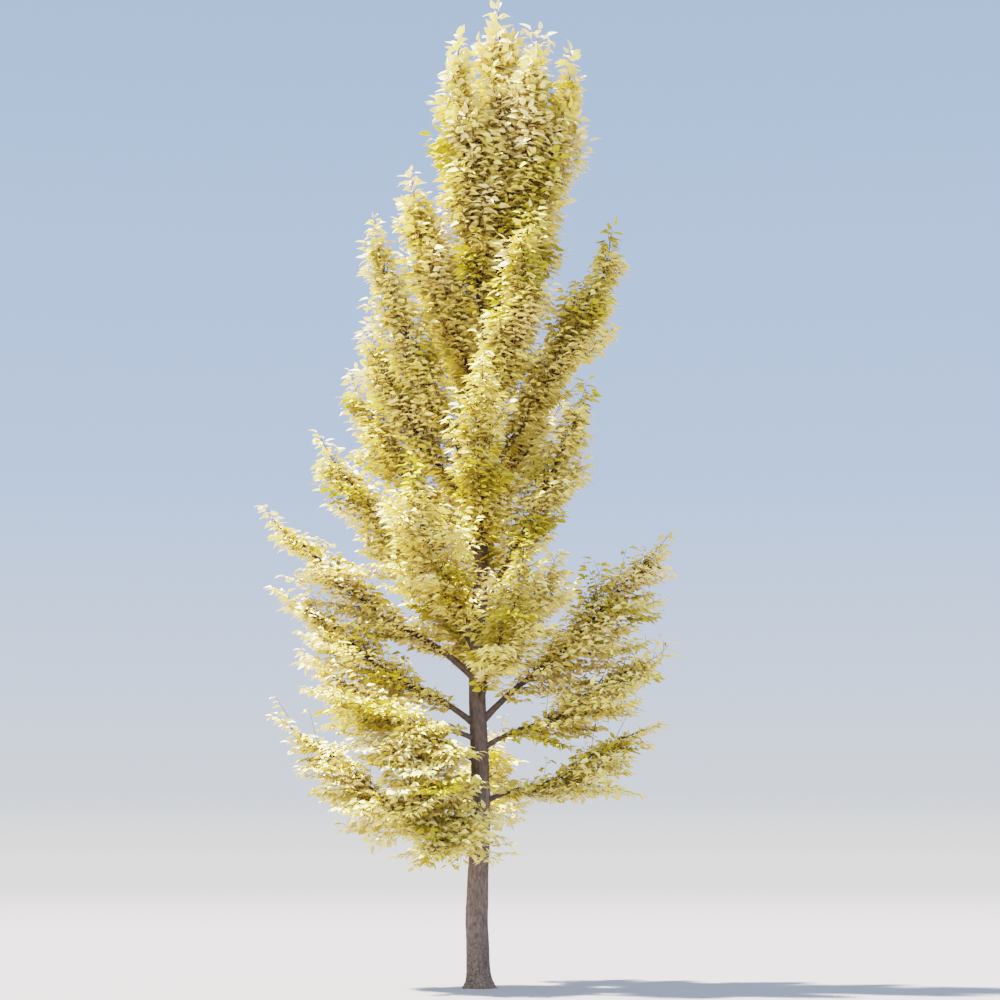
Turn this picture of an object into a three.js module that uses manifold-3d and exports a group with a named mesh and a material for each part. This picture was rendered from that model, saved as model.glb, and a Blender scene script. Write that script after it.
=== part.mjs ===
// A young upright ginkgo in autumn leaf: a trunk with a root flare, ascending boughs, and one mass of
// leafy twigs at the end of each bough.
// Millimetres, +Z up. The origin is the centre of the trunk's flat cut at ground level, +X is the right of
// the tree as it is usually seen, and +Y points away from the viewer.
import * as THREE from "three";
import { mergeVertices } from "three/addons/utils/BufferGeometryUtils.js";
import Module from "manifold-3d";

const wasm = await Module();
wasm.setup();

// Driving dimensions
const HEIGHT = 8000; // ground to the topmost leaf
const TRUNK_TOP = 7080; // where the trunk ends and its leading shoot goes on
const TRUNK_RADIUS = 92; // above the root flare
const TRUNK_TIP_RADIUS = 7;
const FLARE_RADIUS = 40; // added at the ground by the root flare
const FLARE_HEIGHT = 62; // the flare fades by 1/e over this height
const ROOT_LOBES = 5;
const ROOT_LOBE_SHARE = 0.13; // of the radius at the ground
const LEAN = 165; // how far the top stands to the right of the foot
const LEAN_FROM = 3000; // the lean sets in here
const LEAN_TO = 6400;
const TRUNK_SWAY = 14; // side to side wander of the trunk's centre line
const TRUNK_SWAY_PITCH = 2000;

const BOUGH_SLENDERNESS = 0.0155; // foot radius over the limb's length
const BOUGH_SHARE_OF_TRUNK = 0.62; // thickest foot, as a share of the trunk's radius there
const COLLAR_SHARE = 0.45; // swelling of a bough where it joins the trunk
const COLLAR_LENGTH = 70;
const TIP_RADIUS = 4.5; // at the far end of a stem
const BARE_SHARE = 0.13; // of a limb's length, before its leaves begin
const STRAIGHT_FROM = 2150; // limbs below this height set out level and bend upwards
const WAVE_SHARE = 0.018; // height of a limb's slow wave over its reach
const WAVE_PITCH = 0.67; // length of that wave as a share of the reach

const SHOOT_PITCH = 222; // along a stem
const LOW_SPLAY = 46; // degrees between a stem and its shoots, on a limb at the ground
const HIGH_SPLAY = 30; // and on an upright limb
const UPPER_SHORTER = 0.45; // by how much of its length a shoot on top of a level limb is shorter
const SAG = 0.35; // how far shoots hang on a limb at the ground
const FLATTEST = 0.2; // how much of its rise or fall a shoot would keep on a limb at the ground
const UPRIGHT_FROM = 4000; // limbs above this height are upright, and their shoots keep all of it
const GOLDEN_ANGLE = 137.508; // degrees from one shoot to the next round the stem
const TWIG_EVERY = 4; // of these shoots one is a twig with several sprays, the others are single sprays
const TWIG_SHARE = 0.6; // of a shoot's length
const TWIG_RADIUS = 8;
const TWIG_TIP_RADIUS = 6;

const SPRAY_WIDTH_SHARE = 0.84; // a spray of leaves is one blade
const SPRAY_THICKNESS_SHARE = 0.026;
const SPRAY_WIDEST = 0.5; // from the root, as a share of the length
const TWIG_SPRAY_SHARE = 0.75; // of the shoot's length
const TWIG_SPRAYS = [ // where they spring from along the twig, and their angle to it in degrees
  { share: 1, turn: 0 },
  { share: 0.75, turn: 50 },
  { share: 0.5, turn: -50 },
];
const TOP_SPREAD = 420; // length of the leading shoot's own shoots
const LAST_SPRAY = 340; // the spray that ends a stem
const LAST_SPRAY_SHARE = 0.8; // of its length, by which a stem stops short of the limb's full reach
const SPRAY_OUTWARD = 1.2; // how far a blade faces away from the trunk, against 1 for facing up
const SPRAY_TILT = 1.2; // random tilt on top of that
const SHORTER = [1, 0.8, 0.6]; // sizes tried before a shoot or spray is left out
const TURNS = [0, 30, -30]; // and turns round the stem, in degrees

const CORE_SHARE = 0.68; // radius of a mass's dense core over the length of its shoots
const CORE_FROM = 0.06; // where it begins along the leafy stem
const CORE_TO = 0.93; // and ends along the limb
const CORE_LUMPS = 0.55;
const CORE_MARGIN = 8; // how much nearer its own stem than any other the core stays
const CORE_STEPS = 12;
const CORE_PITCH = 250; // between the rings of its lumps
const CORE_FEWEST_RINGS = 4;

const GAP = 0.3; // between pieces that meet
const SHARED_SPACE = 70; // how far a blade may lean into a neighbour's space
const CLEARANCE = 3; // between foliage and anything it must not touch
const TRUNK_SIDES = 12;
const TRUNK_RINGS = 19;
const TRUNK_RING_CROWDING = 1.8; // rings lie closer together towards the ground
const BOUGH_SIDES = 6;
const BOUGH_RINGS = 4;
const STEM_SIDES = 3;
const STEM_RINGS = 5;
const CORE_SIDES = 6;
const TWIG_SIDES = 3;
const PATH_POINTS = 14;
const SLIVER = 0.05; // edges shorter than this are merged after a join

// The limbs, from the ground up: where each leaves the trunk, its direction (degrees: 0 right, 90 away,
// 180 left, 270 towards the viewer), how far it reaches out and rises, and the length of its shoots. A limb
// with no bare foot is one stem from the trunk on.
const limb = (name, start, azimuth, reach, rise, spread, bareFoot = true) => ({
  name, start, azimuth, reach, rise, spread, bareFoot,
});
const LIMBS = [
  limb("left_low", 1160, 187, 1650, 940, 580),
  limb("back_low", 1290, 86, 1500, 760, 560),
  limb("front_left_low", 1360, 252, 1200, -320, 580),
  limb("right_low", 1440, 357, 1430, 640, 640),
  limb("left_front_low", 1460, 223, 1420, -100, 580),
  limb("front_left_mid", 1600, 240, 1330, -80, 580),
  limb("left_back_low", 1760, 162, 1580, 880, 520),
  limb("left_hanging", 1800, 232, 1350, 60, 620),
  limb("right_mid", 1860, 354, 1530, 790, 620),
  limb("left_mid", 1930, 214, 1580, 360, 640),
  limb("left_spreading", 2040, 180, 1650, 1120, 560),
  limb("right_rising", 2060, 3, 1570, 1520, 660),
  limb("front_right", 2180, 292, 1150, 1250, 560),
  limb("right_back_mid", 2300, 60, 1350, 1250, 560),
  limb("back_mid", 2400, 102, 1450, 1150, 560),
  limb("left_long", 2410, 175, 1780, 1370, 540),
  limb("left_back_mid", 2600, 124, 1300, 1300, 550, false),
  limb("front_left", 2660, 244, 1280, 1300, 600),
  limb("left_wing", 2780, 189, 1330, 1560, 580),
  limb("right_wing", 2920, 340, 960, 1840, 560),
  limb("back_high", 3050, 88, 1220, 1550, 570, false),
  limb("front_high", 3300, 270, 1080, 1550, 570, false),
  limb("left_back_wing", 3380, 163, 1230, 1560, 550),
  limb("right_back", 3520, 56, 1030, 1700, 550, false),
  limb("left_upper", 3640, 178, 1000, 1640, 550, false),
  limb("left_arm", 3880, 198, 1000, 2200, 520),
  limb("right_arm", 3960, 2, 1140, 2120, 590),
  limb("front_right_high", 4180, 298, 820, 1900, 550, false),
  limb("back_left_high", 4330, 118, 920, 1850, 550, false),
  limb("right_high", 4480, 344, 520, 1800, 550, false),
  limb("left_inner", 4560, 168, 690, 2000, 600, false),
  limb("left_leader", 4820, 210, 320, 2840, 520, false),
  limb("back_leader", 5120, 110, 580, 2420, 550, false),
  limb("right_leader", 5300, 8, 690, 2300, 480, false),
  limb("front_leader", 5480, 322, 440, 2200, 520, false),
];

// Numbers and vectors
const UP = new THREE.Vector3(0, 0, 1);
const radians = THREE.MathUtils.degToRad;
const mix = THREE.MathUtils.lerp;

// A repeatable number from 0 to 1 for a seed and an index.
function chance(seed, index) {
  const wave = Math.sin(seed * 127.1 + index * 311.7 + 74.7) * 43758.5453;
  return wave - Math.floor(wave);
}

function along(from, direction, distance) {
  return from.clone().addScaledVector(direction, distance);
}

// The level direction square to an azimuth given in degrees.
function levelAcross(azimuth) {
  return new THREE.Vector3(-Math.sin(radians(azimuth)), Math.cos(radians(azimuth)), 0);
}

// Solids from geometry and back

// A plain shape with one vertex at each corner, so that it stays closed when its vertices are moved.
function welded(shape) {
  const bare = new THREE.BufferGeometry();
  bare.setAttribute("position", shape.getAttribute("position"));
  bare.setIndex(shape.index);
  return mergeVertices(bare, 1e-4);
}

function solidOf(geometry) {
  return new wasm.Manifold(
    new wasm.Mesh({
      numProp: 3,
      vertProperties: geometry.getAttribute("position").array,
      triVerts: Uint32Array.from(geometry.index.array),
    }),
  );
}

function geometryOf(solid) {
  const mesh = solid.getMesh();
  const geometry = new THREE.BufferGeometry();
  geometry.setAttribute("position", new THREE.BufferAttribute(mesh.vertProperties, 3));
  geometry.setIndex(new THREE.BufferAttribute(mesh.triVerts, 1));
  geometry.computeVertexNormals();
  return geometry;
}

// Joins pieces into one body: loose scraps are dropped and sealed hollows are filled.
function fuse(pieces) {
  const bodies = wasm.Manifold.union(pieces).simplify(SLIVER).decompose();
  return bodies.reduce((largest, body) => (body.volume() > largest.volume() ? body : largest));
}

function boxesMeet(a, b, margin) {
  return [0, 1, 2].every((i) => a.min[i] - margin < b.max[i] && b.min[i] - margin < a.max[i]);
}

function isClear(solid, obstacles) {
  const box = solid.boundingBox();
  return obstacles.every(
    (other) =>
      !boxesMeet(box, other.boundingBox(), CLEARANCE) || solid.minGap(other, CLEARANCE) >= CLEARANCE,
  );
}

// A limb: a cylinder whose rings are set square on a stretch of a path and scaled to the radius there. The
// level direction, across the path, keeps the rings from twisting. The radius may vary round a ring.
function limbSolid(path, [from, to], level, radiusAt, sides, rings) {
  const geometry = welded(new THREE.CylinderGeometry(1, 1, 1, sides, rings));
  const position = geometry.getAttribute("position");
  for (let i = 0; i < position.count; i++) {
    const share = mix(from, to, position.getY(i) + 0.5);
    const tangent = path.getTangentAt(share);
    const normal = new THREE.Vector3().crossVectors(level, tangent).normalize();
    const across = new THREE.Vector3().crossVectors(tangent, normal);
    const outward = across.multiplyScalar(position.getX(i)).addScaledVector(normal, position.getZ(i));
    const point = along(path.getPointAt(share), outward, radiusAt(share, outward));
    position.setXYZ(i, point.x, point.y, point.z);
  }
  return solidOf(geometry);
}

// Trunk
function trunkCentre(z) {
  const turn = (2 * Math.PI * z) / TRUNK_SWAY_PITCH;
  const sway = TRUNK_SWAY * Math.min(1, (4 * z) / TRUNK_SWAY_PITCH);
  const lean = LEAN * THREE.MathUtils.smoothstep(z, LEAN_FROM, LEAN_TO);
  return new THREE.Vector3(lean - sway * Math.sin(turn), sway * Math.sin(0.7 * turn), z);
}

function trunkRadius(z) {
  const taper = mix(TRUNK_RADIUS, TRUNK_TIP_RADIUS, z / TRUNK_TOP);
  return taper + FLARE_RADIUS * Math.exp(-z / FLARE_HEIGHT);
}

function trunkSolid(extra = 0) {
  const geometry = welded(new THREE.CylinderGeometry(1, 1, 1, TRUNK_SIDES, TRUNK_RINGS));
  const position = geometry.getAttribute("position");
  for (let i = 0; i < position.count; i++) {
    const z = TRUNK_TOP * (position.getY(i) + 0.5) ** TRUNK_RING_CROWDING;
    const angle = Math.atan2(position.getZ(i), position.getX(i));
    const lobes = 1 + ROOT_LOBE_SHARE * Math.exp(-z / FLARE_HEIGHT) * Math.cos(ROOT_LOBES * angle);
    const radius = trunkRadius(z) * lobes + extra;
    const centre = trunkCentre(z);
    position.setXYZ(
      i,
      centre.x + position.getX(i) * radius,
      centre.y - position.getZ(i) * radius,
      z,
    );
  }
  return solidOf(geometry);
}

// Limbs: each runs from the trunk's centre line to its tip, first as a bare bough and then as a leafy stem
function limbPath({ start, azimuth, reach, rise }, seed) {
  const angle = radians(azimuth);
  const outward = new THREE.Vector3(Math.cos(angle), Math.sin(angle), 0);
  const sideways = levelAcross(azimuth);
  const foot = trunkCentre(start);
  const height = start / HEIGHT;
  const woody = 1 - LAST_SPRAY_SHARE * LAST_SPRAY / Math.hypot(reach, rise); // the last spray does the rest
  const upright = mix(0.9, 1.5, height); // high limbs turn upright early
  const lift = mix(1.9, 1, Math.min(1, start / STRAIGHT_FROM)); // low limbs lift towards the tip
  const phase = chance(seed, 1);
  const points = [];
  for (let i = 0; i <= PATH_POINTS; i++) {
    const s = i / PATH_POINTS;
    const wave = WAVE_SHARE * reach;
    const out = woody * reach * (1 - (1 - s) ** upright);
    const up = woody * rise * s ** lift + wave * Math.sin((2 * Math.PI * s) / WAVE_PITCH);
    const side = wave * Math.sin(2 * Math.PI * (s / WAVE_PITCH + phase)) * Math.min(1, 4 * s);
    points.push(along(along(along(foot, outward, out), sideways, side), UP, up));
  }
  return new THREE.CatmullRomCurve3(points);
}

// The radius of a limb at a share of its length, with the collar at its foot.
function limbRadius({ foot, length }, share) {
  const collar = COLLAR_SHARE * Math.exp(-(share * length) / COLLAR_LENGTH);
  return mix(foot, TIP_RADIUS, share ** 0.85) * (1 + collar);
}

function grownLimb(plan, seed) {
  const path = limbPath(plan, seed);
  const length = path.getLength();
  const thickest = BOUGH_SHARE_OF_TRUNK * trunkRadius(plan.start);
  const foot = Math.min(BOUGH_SLENDERNESS * length, thickest);
  return { ...plan, seed, path, length, foot, points: path.getSpacedPoints(4 * PATH_POINTS) };
}

// The part of a limb between two shares of its length.
function limbPiece(grown, from, to, sides, rings) {
  const radiusAt = (share) => limbRadius(grown, share);
  return limbSolid(grown.path, [from, to], levelAcross(grown.azimuth), radiusAt, sides, rings);
}

// The space of a mass: the points that lie nearer to its own limb than to any other, outside the trunk
function distanceTo(points, place) {
  return Math.sqrt(Math.min(...points.map((p) => p.distanceToSquared(place))));
}

function isOwnSpace(place, own, limbs, margin) {
  const centre = trunkCentre(Math.min(Math.max(place.z, 0), TRUNK_TOP));
  const fromTrunk = Math.hypot(place.x - centre.x, place.y - centre.y);
  if (place.z < TRUNK_TOP && fromTrunk < trunkRadius(place.z) + CLEARANCE) return false;
  const distance = distanceTo(own.points, place) + margin;
  return limbs.every((other) => other === own || distanceTo(other.points, place) > distance);
}

// Foliage hangs from its limb: what stands up from a level limb is shorter than what lies beside or below
function hang(side) {
  return 1 - UPPER_SHORTER * Math.max(0, side.z);
}

// Shoots spring from a stem one after another, each turned on from the last by the golden angle
function shootOf(stem, index, turn) {
  const share = (index + 0.5) / stem.shoots;
  const at = mix(stem.leafFrom, 1, share);
  const tangent = stem.path.getTangentAt(at);
  const level = levelAcross(stem.azimuth);
  const rising = tangent.clone().cross(level).normalize();
  const roll = radians(GOLDEN_ANGLE * index + 360 * chance(stem.seed, 2) + turn);
  const side = level.multiplyScalar(Math.cos(roll)).addScaledVector(rising, Math.sin(roll));
  const height = Math.min(1, stem.start / UPRIGHT_FROM);
  const splay = radians(mix(LOW_SPLAY, HIGH_SPLAY, height));
  const direction = tangent.multiplyScalar(Math.cos(splay)).addScaledVector(side, Math.sin(splay));
  direction.z = direction.z * mix(FLATTEST, 1, height) - SAG * (1 - height);
  const fullness = 0.3 + 0.7 * Math.sin(Math.PI * share ** 0.65);
  const length = stem.spread * fullness * hang(side) * mix(0.85, 1.15, chance(stem.seed, 10 + index));
  return { root: stem.path.getPointAt(at), direction: direction.normalize(), length };
}

// A spray of leaves as one pointed blade, its root in a stem or twig, tilted to face the light and the open
function sprayGeometry({ root, direction, tilt, length }) {
  const centre = trunkCentre(root.z);
  const facing = new THREE.Vector3(root.x - centre.x, root.y - centre.y, 0).setLength(SPRAY_OUTWARD);
  facing.add(UP).add(tilt);
  const across = new THREE.Vector3().crossVectors(direction, facing).normalize();
  const normal = new THREE.Vector3().crossVectors(across, direction);
  const blade = welded(new THREE.OctahedronGeometry(0.5));
  const position = blade.getAttribute("position");
  for (let i = 0; i < position.count; i++) {
    const isEnd = Math.abs(position.getY(i)) > 0.1;
    position.setY(i, isEnd ? position.getY(i) + 0.5 : SPRAY_WIDEST);
  }
  blade.scale(length * SPRAY_WIDTH_SHARE, length, length * SPRAY_THICKNESS_SHARE);
  blade.applyMatrix4(new THREE.Matrix4().makeBasis(across, direction, normal).setPosition(root));
  return blade;
}

function randomTilt(seed, index) {
  const part = (k) => SPRAY_TILT * (2 * chance(seed, 10 * index + k) - 1);
  return new THREE.Vector3(part(1), part(2), part(3));
}

// A twig is the woody first part of a longer shoot.
function twigPath({ root, direction, length }) {
  return new THREE.LineCurve3(root, along(root, direction, TWIG_SHARE * length));
}

function twigSolid(path) {
  const level = new THREE.Vector3().crossVectors(UP, path.getTangentAt(0)).normalize();
  const radiusAt = (share) => mix(TWIG_RADIUS, TWIG_TIP_RADIUS, share);
  return limbSolid(path, [0, 1], level, radiusAt, TWIG_SIDES, 1);
}

// The sprays of a twig: the last goes on along the twig, the others stand out to either side.
function spraysOf(path, length, seed) {
  return TWIG_SPRAYS.map(({ share, turn }, i) => {
    const tangent = path.getTangentAt(share);
    const root = along(path.getPointAt(share), tangent, -TWIG_RADIUS);
    const direction = tangent.applyAxisAngle(UP, radians(turn));
    return { root, direction, tilt: randomTilt(seed, i), length: TWIG_SPRAY_SHARE * length };
  });
}

function verticesOf(geometry) {
  const position = geometry.getAttribute("position");
  return Array.from({ length: position.count }, (_, i) =>
    new THREE.Vector3().fromBufferAttribute(position, i),
  );
}

// The dense inside of a mass: a lumpy spindle round its stem that stops short of the neighbours' spaces
function coreSolid(stem, limbs, size) {
  const from = mix(stem.leafFrom, 1, CORE_FROM);
  const isOwn = (place) => isOwnSpace(place, stem, limbs, CORE_MARGIN);
  const radiusAt = (share, outward) => {
    const middle = stem.path.getPointAt(share);
    const swell = Math.sin(Math.PI * THREE.MathUtils.mapLinear(share, from, CORE_TO, 0.15, 0.88));
    const lump = mix(1 - CORE_LUMPS, 1, chance(stem.seed, middle.z + 900 * outward.x + 700 * outward.y));
    const wanted = size * CORE_SHARE * stem.spread * swell * lump * hang(outward);
    const steps = Array.from({ length: CORE_STEPS }, (_, i) => (wanted * (i + 1)) / CORE_STEPS);
    const stop = steps.findIndex((step) => !isOwn(along(middle, outward, step)));
    return stop < 0 ? wanted : Math.max(steps[stop] - wanted / CORE_STEPS, 2 * TIP_RADIUS);
  };
  const rings = Math.max(CORE_FEWEST_RINGS, Math.round(((CORE_TO - from) * stem.length) / CORE_PITCH));
  return limbSolid(stem.path, [from, CORE_TO], levelAcross(stem.azimuth), radiusAt, CORE_SIDES, rings);
}

// The bare axis of a mass, cut clear of the trunk where it starts there.
function axisSolid(stem, trunkCutter) {
  const whole = limbPiece(stem, stem.stemFrom + GAP / stem.length, 1, STEM_SIDES, STEM_RINGS);
  return stem.startsAtTrunk ? whole.subtract(trunkCutter) : whole;
}

// Foliage: the axis of one mass with its core and its shoots, which are single sprays or twigs with sprays.
// Each is kept to the mass's own space and clear of everything but what bears it, or is tried shorter or
// turned, or is left out.
function foliageSolid(stem, stems, obstacles) {
  const inOwnSpace = (places) => places.every((place) => isOwnSpace(place, stem, stems, -SHARED_SPACE));
  const cores = SHORTER.map((size) => coreSolid(stem, stems, size));
  const filling = cores.find((each) => isClear(each, obstacles));
  const core = filling ? stem.axis.add(filling) : stem.axis;
  const placed = [];

  const place = (solid, places, bearer) => {
    const others = [...obstacles, ...placed].filter((other) => other !== bearer);
    const fits = inOwnSpace(places) && isClear(solid, others);
    if (fits) placed.push(solid);
    return fits;
  };
  const addSpray = (spray, bearer) => {
    const blade = sprayGeometry(spray);
    return place(solidOf(blade), verticesOf(blade), bearer);
  };
  const addTwig = (shoot, seed) => {
    const path = twigPath(shoot);
    const twig = twigSolid(path);
    if (!place(twig, path.getPoints(3), core)) return false;
    for (const spray of spraysOf(path, shoot.length, seed)) {
      SHORTER.some((size) => addSpray({ ...spray, length: size * spray.length }, twig));
    }
    return true;
  };

  const direction = stem.path.getTangentAt(1);
  const root = along(stem.path.getPointAt(1), direction, -2 * TIP_RADIUS);
  addSpray({ root, direction, tilt: randomTilt(stem.seed, 0), length: LAST_SPRAY }, core);
  for (let index = stem.shoots - 1; index >= 0; index--) {
    const seed = 100 * stem.seed + index;
    const tilt = randomTilt(seed, 5);
    const isTwig = index % TWIG_EVERY === 0;
    const tries = SHORTER.flatMap((size) => TURNS.map((turn) => ({ size, turn })));
    tries.some(({ size, turn }) => {
      const shoot = shootOf(stem, index, turn);
      shoot.length *= size;
      return isTwig ? addTwig(shoot, seed) : addSpray({ ...shoot, tilt }, core);
    });
  }
  return fuse([core, ...placed]);
}

// The leading shoot carries the trunk on to the top of the tree.
function leadingShoot() {
  const foot = trunkCentre(TRUNK_TOP);
  const rise = HEIGHT - LAST_SPRAY - TRUNK_TOP;
  const path = new THREE.CatmullRomCurve3([foot, along(foot, UP, rise / 2), along(foot, UP, rise)]);
  return {
    name: "top", start: TRUNK_TOP, azimuth: 0, spread: TOP_SPREAD, bareFoot: false, seed: 0,
    path, length: rise, foot: TRUNK_TIP_RADIUS, points: path.getSpacedPoints(PATH_POINTS),
  };
}

// The leafy stem of a limb: where it and its leaves start, and how many shoots it has.
function stemOf(grown, leafFrom) {
  const shoots = Math.round(((1 - leafFrom) * grown.length) / SHOOT_PITCH);
  return { ...grown, leafFrom, stemFrom: grown.bareFoot ? leafFrom : 0, shoots };
}

// Assembly
const bark = new THREE.MeshStandardMaterial({ color: 0x85766f, roughness: 0.92, metalness: 0 });
const leaf = new THREE.MeshStandardMaterial({ color: 0xc8b45c, roughness: 0.6, metalness: 0 });
const tree = new THREE.Group();

function addPiece(name, solid, material) {
  const mesh = new THREE.Mesh(geometryOf(solid), material);
  mesh.name = name;
  tree.add(mesh);
}

const trunk = trunkSolid();
const trunkCutter = trunkSolid(GAP);
addPiece("trunk", trunk, bark);

const grown = LIMBS.map((plan, i) => grownLimb(plan, i + 1));
const boughs = [];
for (const one of grown.filter((each) => each.bareFoot)) {
  const solid = fuse([limbPiece(one, 0, BARE_SHARE, BOUGH_SIDES, BOUGH_RINGS).subtract(trunkCutter)]);
  boughs.push(solid);
  addPiece("bough_" + one.name, solid, bark);
}

const limbStems = grown.map((one) => ({ ...stemOf(one, BARE_SHARE), startsAtTrunk: !one.bareFoot }));
const stems = [...limbStems, stemOf(leadingShoot(), 0)].reverse();
for (const stem of stems) stem.axis = axisSolid(stem, trunkCutter);
const made = [];
for (const stem of stems) {
  const otherAxes = stems.filter((other) => other !== stem).map((other) => other.axis);
  const solid = foliageSolid(stem, stems, [trunk, ...boughs, ...otherAxes, ...made]);
  made.push(solid);
  addPiece("foliage_" + stem.name, solid, leaf);
}

export default tree;
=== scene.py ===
"""The looks of a young ginkgo in autumn leaf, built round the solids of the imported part.

Bark with real relief stands for the trunk and the boughs. Twigs and leaves, grown on from the limbs by the
rule that the solids follow and carried to finer twigs, stand for the masses of foliage.
Metres, +Z up, the origin at the centre of the trunk's flat cut. The tree is seen along +Y.
"""

import math
from dataclasses import dataclass

import bpy
import numpy as np
from bpy.props import FloatProperty, FloatVectorProperty, IntProperty, PointerProperty
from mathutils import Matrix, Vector, noise


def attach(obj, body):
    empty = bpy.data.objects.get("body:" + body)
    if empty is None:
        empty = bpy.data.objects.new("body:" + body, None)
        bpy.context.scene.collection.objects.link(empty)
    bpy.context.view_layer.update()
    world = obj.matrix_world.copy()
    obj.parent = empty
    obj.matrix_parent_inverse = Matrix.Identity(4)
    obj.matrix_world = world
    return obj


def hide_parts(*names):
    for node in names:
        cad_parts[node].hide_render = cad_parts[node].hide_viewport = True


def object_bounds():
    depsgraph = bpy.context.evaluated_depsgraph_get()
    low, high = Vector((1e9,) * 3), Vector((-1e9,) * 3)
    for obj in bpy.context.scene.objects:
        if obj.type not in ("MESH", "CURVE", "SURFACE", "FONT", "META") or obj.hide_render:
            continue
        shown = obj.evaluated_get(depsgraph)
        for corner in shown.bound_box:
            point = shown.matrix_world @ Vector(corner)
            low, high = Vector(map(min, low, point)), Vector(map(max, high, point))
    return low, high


bl_info = {
    "name": "Autumn Ginkgo",
    "version": (1, 0, 0),
    "blender": (4, 5, 0),
    "location": "View3D > Sidebar > Ginkgo",
    "description": "Bark, twigs, leaves and a stage for a young ginkgo in autumn leaf",
    "category": "Object",
}

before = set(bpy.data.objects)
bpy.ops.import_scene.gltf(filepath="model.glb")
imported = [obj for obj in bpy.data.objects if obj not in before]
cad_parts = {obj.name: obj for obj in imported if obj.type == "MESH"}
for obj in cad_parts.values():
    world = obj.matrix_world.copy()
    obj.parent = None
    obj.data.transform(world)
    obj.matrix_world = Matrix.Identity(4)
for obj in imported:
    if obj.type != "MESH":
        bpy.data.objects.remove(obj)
SOLID_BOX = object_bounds()

UP = Vector((0, 0, 1))
GOLDEN_ANGLE = math.radians(137.508)
TREE_HEIGHT = 8.0

# The limbs, from the ground up: name, height at which the limb leaves the trunk, direction in degrees
# (0 right, 90 away from the viewer), reach, rise, and length of its shoots.
LIMBS = (
    ("left_low", 1.16, 187, 1.65, 0.94, 0.58),
    ("back_low", 1.29, 86, 1.50, 0.76, 0.56),
    ("front_left_low", 1.36, 252, 1.20, -0.32, 0.58),
    ("right_low", 1.44, 357, 1.43, 0.64, 0.64),
    ("left_front_low", 1.46, 223, 1.42, -0.10, 0.58),
    ("front_left_mid", 1.60, 240, 1.33, -0.08, 0.58),
    ("left_back_low", 1.76, 162, 1.58, 0.88, 0.52),
    ("left_hanging", 1.80, 232, 1.35, 0.06, 0.62),
    ("right_mid", 1.86, 354, 1.53, 0.79, 0.62),
    ("left_mid", 1.93, 214, 1.58, 0.36, 0.64),
    ("left_spreading", 2.04, 180, 1.65, 1.12, 0.56),
    ("right_rising", 2.06, 3, 1.57, 1.52, 0.66),
    ("front_right", 2.18, 292, 1.15, 1.25, 0.56),
    ("right_back_mid", 2.30, 60, 1.35, 1.25, 0.56),
    ("back_mid", 2.40, 102, 1.45, 1.15, 0.56),
    ("left_long", 2.41, 175, 1.78, 1.37, 0.54),
    ("left_back_mid", 2.60, 124, 1.30, 1.30, 0.55),
    ("front_left", 2.66, 244, 1.28, 1.30, 0.60),
    ("left_wing", 2.78, 189, 1.33, 1.56, 0.58),
    ("right_wing", 2.92, 340, 0.96, 1.84, 0.56),
    ("back_high", 3.05, 88, 1.22, 1.55, 0.57),
    ("front_high", 3.30, 270, 1.08, 1.55, 0.57),
    ("left_back_wing", 3.38, 163, 1.23, 1.56, 0.55),
    ("right_back", 3.52, 56, 1.03, 1.70, 0.55),
    ("left_upper", 3.64, 178, 1.00, 1.64, 0.55),
    ("left_arm", 3.88, 198, 1.00, 2.20, 0.52),
    ("right_arm", 3.96, 2, 1.14, 2.12, 0.59),
    ("front_right_high", 4.18, 298, 0.82, 1.90, 0.55),
    ("back_left_high", 4.33, 118, 0.92, 1.85, 0.55),
    ("right_high", 4.48, 344, 0.52, 1.80, 0.55),
    ("left_inner", 4.56, 168, 0.69, 2.00, 0.60),
    ("left_leader", 4.82, 210, 0.32, 2.84, 0.52),
    ("back_leader", 5.12, 110, 0.58, 2.42, 0.55),
    ("right_leader", 5.30, 8, 0.69, 2.30, 0.48),
    ("front_leader", 5.48, 322, 0.44, 2.20, 0.52),
)

# Groups of masses that are joined into one piece of leaves and one of twigs, by the height of their foot.
TIERS = (("low", 0.0), ("middle", 2.0), ("wing", 2.8), ("arm", 3.8), ("leader", 4.6))


# Sizes and colours that a user may change


def in_metres(name, description, default):
    return FloatProperty(name=name, description=description, default=default, unit="LENGTH")


def in_degrees(name, description, default):
    """An angle that is given in degrees and kept in radians."""
    return FloatProperty(name=name, description=description, default=math.radians(default), subtype="ANGLE")


def plain_number(name, description, default):
    return FloatProperty(name=name, description=description, default=default)


def whole_number(name, description, default, least):
    return IntProperty(name=name, description=description, default=default, min=least)


def plain_colour(name, description, *default):
    return FloatVectorProperty(name=name, description=description, default=default, size=3, subtype="COLOR")


class TrunkForm(bpy.types.PropertyGroup):
    """Sizes of the trunk."""

    top: in_metres("Top", "Height where the trunk ends in its leading shoot", 7.08)
    radius: in_metres("Radius", "Radius above the root flare", 0.092)
    tip_radius: in_metres("Tip Radius", "Radius at the top", 0.007)
    flare_radius: in_metres("Flare", "Added to the radius at the ground", 0.040)
    flare_height: in_metres("Flare Height", "Height over which the flare fades", 0.062)
    lobes: whole_number("Root Lobes", "Swellings round the foot", 5, least=0)
    lobe_share: plain_number("Lobe Share", "Height of a lobe over the radius at the ground", 0.13)
    lean: in_metres("Lean", "How far the top stands to the right", 0.165)
    lean_from: in_metres("Lean From", "Height where it begins", 3.0)
    lean_to: in_metres("Lean To", "Height where it ends", 6.4)
    sway: in_metres("Sway", "Wander from side to side", 0.014)
    sway_pitch: in_metres("Sway Pitch", "Length of one sway", 2.0)
    relief: in_metres("Relief", "Depth of the bark's ridges", 0.0055)
    sides: whole_number("Sides", "Points round the trunk", 96, least=12)
    rings: whole_number("Rings", "Rings from the ground to the top", 340, least=20)


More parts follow.
